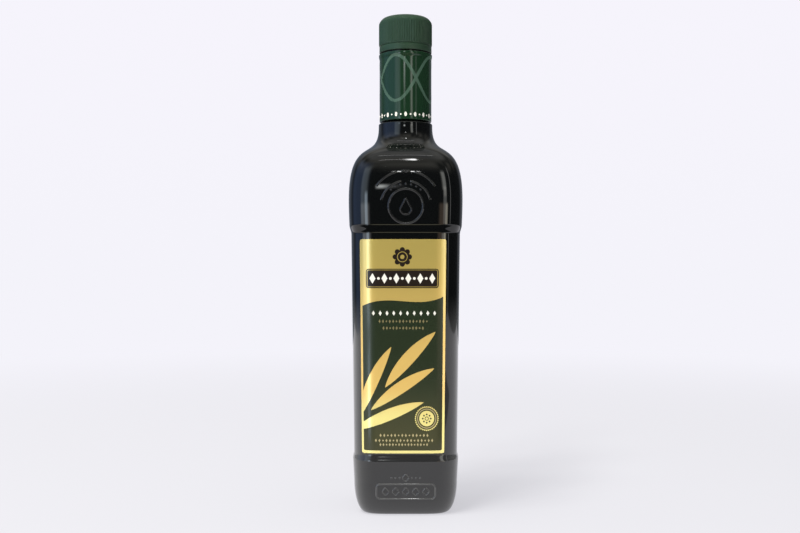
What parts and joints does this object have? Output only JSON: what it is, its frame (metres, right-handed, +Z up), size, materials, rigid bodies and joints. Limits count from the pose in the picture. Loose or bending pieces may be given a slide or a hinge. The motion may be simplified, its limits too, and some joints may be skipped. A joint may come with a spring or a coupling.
{
  "type": "olive oil bottle",
  "caption": "Shut square dark glass olive oil bottle with rounded shoulders, green ribbed screw cap, printed neck sleeve and recessed gold and green labels.",
  "frame": {"origin": "centre of the base, on the surface the bottle stands on", "axes": "+Z up along the bottle's axis to the cap, -Y towards the front label, +X to the right of the front label"},
  "size_m": [0.0708, 0.0716, 0.3095],
  "materials": {
    "glass": "near-black green bottle glass, glossy, opaque when full",
    "sleeve_plastic": "satin dark green with pale green print",
    "cap_plastic": "satin dark green moulded",
    "label_gold": "satin gold foil paper",
    "label_green": "dark green ink with a soft gloss",
    "label_dark": "dark brown ink",
    "label_white": "off-white ink"
  },
  "bodies": {
    "root": {"bottle": "glass", "sleeve": "sleeve_plastic", "cap": "cap_plastic", "label_front": "label_gold", "label_back": "label_gold"}
  },
  "joints": []
}
